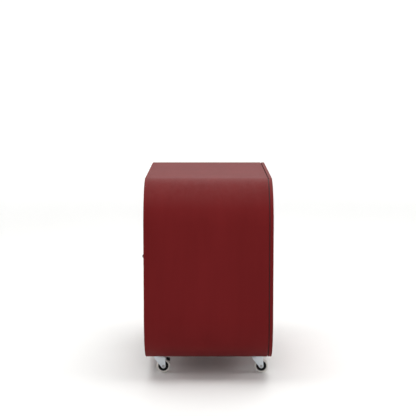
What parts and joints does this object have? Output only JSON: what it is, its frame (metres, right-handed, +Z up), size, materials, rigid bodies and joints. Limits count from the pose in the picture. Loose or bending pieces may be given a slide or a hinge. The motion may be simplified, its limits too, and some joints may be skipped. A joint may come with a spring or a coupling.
{
  "type": "newspaper vending box",
  "caption": "Low newspaper vending cabinet on castors: a sheet shell wrapped round large corners, windowed doors each side of a coin post, and a lockable cash drawer.",
  "frame": {"origin": "on the floor, at the centre of the overall box (the knobs stand out at the front, so the body sits 12.5 mm behind it)", "axes": "+X along the long side, to the right as seen from the doors; the doors face -Y; +Z up"},
  "size_m": [0.93, 0.475, 0.715],
  "materials": {
    "painted_steel": "matt burgundy powder coat, fine texture",
    "painted_panel": "matt burgundy paint on board",
    "grey_board": "matt grey painted plywood",
    "brushed_plate": "vertically brushed",
    "polished_steel": "polished",
    "grey_casting": "as cast",
    "zinc_sheet": "bright zinc plate",
    "castor_zinc": "bluish zinc plate, pressed",
    "steel_fixing": "plain steel",
    "black_rubber": "matt",
    "black_plastic": "satin moulded",
    "gloss_black": "high gloss",
    "grey_tread": "matt grey rubber",
    "clear_pane": "clear polycarbonate"
  },
  "bodies": {
    "cabinet": {"shell": "painted_steel", "edge_rings": "painted_steel", "back_panel": "painted_panel", "back_gasket": "black_rubber", "back_screws": "steel_fixing", "front_frame": "painted_steel", "door_seals": "black_rubber", "door_magnets": "black_plastic", "coin_plate": "brushed_plate", "left_coin_mech": "grey_casting", "right_coin_mech": "grey_casting", "coin_chute": "zinc_sheet", "coin_cup": "brushed_plate", "drawer_runners": "zinc_sheet", "left_partition": "grey_board", "right_partition": "grey_board", "bay_floors": "grey_board", "shelves": "grey_board", "shelf_pins": "steel_fixing", "base_plate": "zinc_sheet", "hinge_frame_leaves": "zinc_sheet", "hinge_pins": "steel_fixing", "castor_plates": "castor_zinc", "castor_kingpins": "steel_fixing", "castor_bolts": "steel_fixing"},
    "left_door": {"left_door": "painted_steel", "left_window": "clear_pane", "left_knob": "gloss_black", "left_hinge_leaves": "zinc_sheet", "left_strike": "zinc_sheet"},
    "right_door": {"right_door": "painted_steel", "right_window": "clear_pane", "right_knob": "gloss_black", "right_hinge_leaves": "zinc_sheet", "right_strike": "zinc_sheet"},
    "left_latch": {"left_latch": "zinc_sheet"},
    "left_return_button": {"left_return_button": "polished_steel"},
    "right_latch": {"right_latch": "zinc_sheet"},
    "right_return_button": {"right_return_button": "polished_steel"},
    "coin_cup_flap": {"coin_cup_flap": "brushed_plate"},
    "cash_drawer": {"cash_drawer": "brushed_plate"},
    "cash_lock": {"cash_lock": "polished_steel"},
    "front_left_swivel": {"front_left_fork": "castor_zinc", "front_left_axle": "steel_fixing"},
    "front_left_wheel": {"front_left_rim": "black_plastic", "front_left_tyre": "grey_tread"},
    "front_left_pedal": {"front_left_brake": "black_plastic"},
    "front_right_swivel": {"front_right_fork": "castor_zinc", "front_right_axle": "steel_fixing"},
    "front_right_wheel": {"front_right_rim": "black_plastic", "front_right_tyre": "grey_tread"},
    "front_right_pedal": {"front_right_brake": "black_plastic"},
    "rear_left_swivel": {"rear_left_fork": "castor_zinc", "rear_left_axle": "steel_fixing"},
    "rear_left_wheel": {"rear_left_rim": "black_plastic", "rear_left_tyre": "grey_tread"},
    "rear_right_swivel": {"rear_right_fork": "castor_zinc", "rear_right_axle": "steel_fixing"},
    "rear_right_wheel": {"rear_right_rim": "black_plastic", "rear_right_tyre": "grey_tread"}
  },
  "joints": [
    {"name": "left_door_hinge", "type": "hinge", "parent": "cabinet", "child": "left_door", "pos_m": [-0.444, -0.208, 0.3925], "axis": [0, 0, -1], "range_deg": [0, 100]},
    {"name": "right_door_hinge", "type": "hinge", "parent": "cabinet", "child": "right_door", "pos_m": [0.444, -0.208, 0.3925], "axis": [0, 0, 1], "range_deg": [0, 100]},
    {"name": "left_latch_slide", "type": "slide", "parent": "cabinet", "child": "left_latch", "axis": [-1, 0, 0], "range_m": [0, 0.008]},
    {"name": "left_return_press", "type": "slide", "parent": "cabinet", "child": "left_return_button", "axis": [0, 1, 0], "range_m": [0, 0.004], "stiffness_N_per_m": 300},
    {"name": "right_latch_slide", "type": "slide", "parent": "cabinet", "child": "right_latch", "axis": [1, 0, 0], "range_m": [0, 0.008]},
    {"name": "right_return_press", "type": "slide", "parent": "cabinet", "child": "right_return_button", "axis": [0, 1, 0], "range_m": [0, 0.004], "stiffness_N_per_m": 300},
    {"name": "coin_cup_flap_hinge", "type": "hinge", "parent": "cabinet", "child": "coin_cup_flap", "pos_m": [0, -0.2065, 0.3127], "axis": [1, 0, 0], "range_deg": [0, 70]},
    {"name": "cash_drawer_slide", "type": "slide", "parent": "cabinet", "child": "cash_drawer", "axis": [0, -1, 0], "range_m": [0, 0.15]},
    {"name": "cash_lock_turn", "type": "hinge", "parent": "cash_drawer", "child": "cash_lock", "pos_m": [0, -0.2115, 0.1646], "axis": [0, 1, 0], "range_deg": [0, 90]},
    {"name": "front_left_swivel_turn", "type": "hinge", "parent": "cabinet", "child": "front_left_swivel", "pos_m": [-0.275, -0.1655, 0.055], "axis": [0, 0, 1], "continuous": true},
    {"name": "front_left_wheel_roll", "type": "hinge", "parent": "front_left_swivel", "child": "front_left_wheel", "pos_m": [-0.275, -0.1515, 0.025], "axis": [1, 0, 0], "continuous": true},
    {"name": "front_left_brake_press", "type": "hinge", "parent": "front_left_swivel", "child": "front_left_pedal", "pos_m": [-0.275, -0.148, 0.0528], "axis": [1, 0, 0], "range_deg": [0, 15]},
    {"name": "front_right_swivel_turn", "type": "hinge", "parent": "cabinet", "child": "front_right_swivel", "pos_m": [0.275, -0.1655, 0.055], "axis": [0, 0, 1], "continuous": true},
    {"name": "front_right_wheel_roll", "type": "hinge", "parent": "front_right_swivel", "child": "front_right_wheel", "pos_m": [0.275, -0.1515, 0.025], "axis": [1, 0, 0], "continuous": true},
    {"name": "front_right_brake_press", "type": "hinge", "parent": "front_right_swivel", "child": "front_right_pedal", "pos_m": [0.275, -0.148, 0.0528], "axis": [1, 0, 0], "range_deg": [0, 15]},
    {"name": "rear_left_swivel_turn", "type": "hinge", "parent": "cabinet", "child": "rear_left_swivel", "pos_m": [-0.275, 0.1905, 0.055], "axis": [0, 0, 1], "continuous": true},
    {"name": "rear_left_wheel_roll", "type": "hinge", "parent": "rear_left_swivel", "child": "rear_left_wheel", "pos_m": [-0.275, 0.2045, 0.025], "axis": [1, 0, 0], "continuous": true},
    {"name": "rear_right_swivel_turn", "type": "hinge", "parent": "cabinet", "child": "rear_right_swivel", "pos_m": [0.275, 0.1905, 0.055], "axis": [0, 0, 1], "continuous": true},
    {"name": "rear_right_wheel_roll", "type": "hinge", "parent": "rear_right_swivel", "child": "rear_right_wheel", "pos_m": [0.275, 0.2045, 0.025], "axis": [1, 0, 0], "continuous": true}
  ]
}
